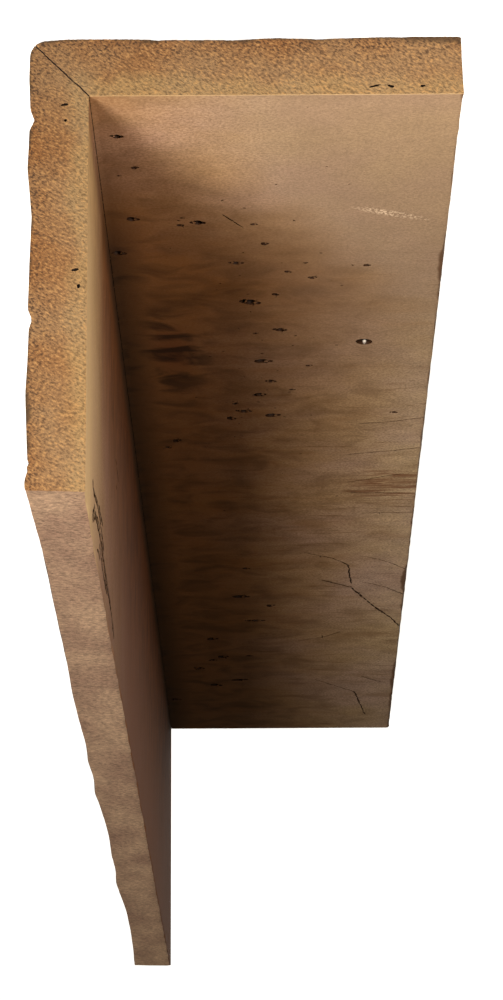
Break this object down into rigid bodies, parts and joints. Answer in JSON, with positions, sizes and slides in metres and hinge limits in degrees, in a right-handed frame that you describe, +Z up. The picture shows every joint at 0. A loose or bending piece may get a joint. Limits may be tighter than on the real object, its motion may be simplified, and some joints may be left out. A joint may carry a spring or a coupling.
{
  "type": "faux ceiling beam",
  "caption": "L-shaped hollow-backed ceiling beam cover in moulded foam: a bottom board and a side board mitred along the corner, hewn outside, flat inside, cut square at its ends.",
  "frame": {"origin": "under the middle of the beam's box, level with the lowest crests of the hewn underside that it rests on", "axes": "+Y along the beam away from the near cut end, +Z up through the bottom board and along the side board, +X across the bottom board towards the side board"},
  "size_m": [0.152, 1, 0.165],
  "materials": {
    "bottom_foam": "matt moulded foam, brown skin, raw open cells at the cut ends",
    "side_foam": "matt moulded foam, brown skin, raw open cells at the cut ends"
  },
  "bodies": {
    "root": {"bottom_board": "bottom_foam", "side_board": "side_foam"}
  },
  "joints": []
}
